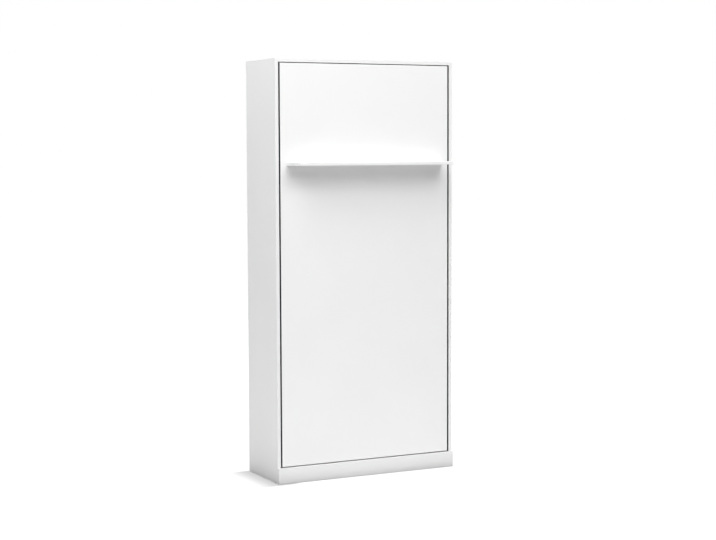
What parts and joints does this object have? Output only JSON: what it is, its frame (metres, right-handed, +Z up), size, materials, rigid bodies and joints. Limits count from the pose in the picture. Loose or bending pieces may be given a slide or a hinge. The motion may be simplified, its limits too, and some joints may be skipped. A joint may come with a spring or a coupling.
{
  "type": "wall bed",
  "caption": "Vertical wall bed: a single bed folds up into a shallow white cabinet behind a flush front panel whose shelf is the open bed's foot.",
  "frame": {"origin": "on the floor, under the middle of the closed object's bounding box", "axes": "+Z up, the front faces -Y, +X to the right as seen from the front"},
  "size_m": [1.015, 0.5, 2.15],
  "materials": {
    "white_board": "white melamine-faced chipboard, fine matt",
    "white_front": "white melamine-faced chipboard, smooth satin",
    "back_board": "white lacquered hardboard",
    "white_plastic": "white plastic section",
    "grey_plastic": "grey moulded plastic",
    "black_plastic": "black moulded plastic",
    "zinc_steel": "zinc-plated steel",
    "zinc_cast": "bare zinc die casting",
    "plate_steel": "zinc-plated steel plate",
    "frame_paint": "silver-grey powder coat",
    "cylinder_paint": "black paint, satin",
    "eye_steel": "zinc-plated steel",
    "rod_chrome": "hard chrome",
    "bronze": "sintered bronze",
    "rubber": "black rubber",
    "beech": "bent beech plywood, clear lacquer",
    "mattress_cover": "quilted white knitted cover",
    "strap_web": "black woven webbing"
  },
  "bodies": {
    "cabinet": {"left_side_panel": "white_board", "right_side_panel": "white_board", "top_panel": "white_board", "base_panel": "white_board", "back_panel_upper": "back_board", "back_panel_lower": "back_board", "back_joint_strip": "white_plastic", "upper_rear_rail": "white_board", "lower_rear_rail": "white_board", "plinth_board": "white_board", "plinth_brackets": "zinc_steel", "cabinet_screws": "zinc_steel", "floor_glides": "grey_plastic", "wall_washers": "zinc_steel", "cam_housings": "zinc_cast", "cam_bolts": "zinc_steel", "wood_dowels": "beech", "back_panel_screws": "zinc_steel", "left_mount_plate": "plate_steel", "right_mount_plate": "plate_steel", "mount_plate_screws": "zinc_steel", "left_pivot_pin": "zinc_steel", "right_pivot_pin": "zinc_steel", "pin_clips": "zinc_steel", "cylinder_studs": "zinc_steel", "anchor_clips": "zinc_steel", "stop_blocks": "grey_plastic", "stop_pads": "rubber"},
    "bed": {"front_panel": "white_front", "shelf": "white_front", "shelf_screws": "zinc_steel", "left_side_rail": "frame_paint", "right_side_rail": "frame_paint", "head_rail": "frame_paint", "foot_rail": "frame_paint", "cross_rails": "frame_paint", "rail_end_caps": "black_plastic", "panel_tabs": "frame_paint", "panel_screws": "zinc_steel", "slats": "beech", "slat_holders": "black_plastic", "head_retainer": "frame_paint", "foot_retainer": "frame_paint", "mattress": "mattress_cover", "mattress_straps": "strap_web", "strap_buckles": "black_plastic", "left_pivot_arm": "frame_paint", "right_pivot_arm": "frame_paint", "arm_bolts": "zinc_steel", "pivot_bushes": "bronze", "rod_studs": "zinc_steel", "rod_clips": "zinc_steel"},
    "left_cylinder": {"left_strut_cylinder": "cylinder_paint", "left_cylinder_eye": "eye_steel"},
    "left_rod": {"left_strut_rod": "rod_chrome", "left_rod_eye": "eye_steel"},
    "right_cylinder": {"right_strut_cylinder": "cylinder_paint", "right_cylinder_eye": "eye_steel"},
    "right_rod": {"right_strut_rod": "rod_chrome", "right_rod_eye": "eye_steel"}
  },
  "joints": [
    {"name": "bed_fold", "type": "hinge", "parent": "cabinet", "child": "bed", "pos_m": [0, 0.03, 0.28], "axis": [1, 0, 0], "range_deg": [0, 90], "stiffness_Nm_per_rad": 300, "springref_deg": -14.32},
    {"name": "left_cylinder_turn", "type": "hinge", "parent": "cabinet", "child": "left_cylinder", "pos_m": [0, 0.03, 0.465], "axis": [1, 0, 0], "range_deg": [0, 45]},
    {"name": "left_rod_turn", "type": "hinge", "parent": "bed", "child": "left_rod", "pos_m": [0, 0.07788, 0.1013], "axis": [1, 0, 0], "range_deg": [-45, 0]},
    {"name": "right_cylinder_turn", "type": "hinge", "parent": "cabinet", "child": "right_cylinder", "pos_m": [0, 0.03, 0.465], "axis": [1, 0, 0], "range_deg": [0, 45]},
    {"name": "right_rod_turn", "type": "hinge", "parent": "bed", "child": "right_rod", "pos_m": [0, 0.07788, 0.1013], "axis": [1, 0, 0], "range_deg": [-45, 0]}
  ],
  "couplings": [
    {"joint": "left_cylinder_turn", "follows": "bed_fold", "ratio": 0.5},
    {"joint": "left_rod_turn", "follows": "bed_fold", "ratio": -0.5},
    {"joint": "right_cylinder_turn", "follows": "bed_fold", "ratio": 0.5},
    {"joint": "right_rod_turn", "follows": "bed_fold", "ratio": -0.5}
  ]
}
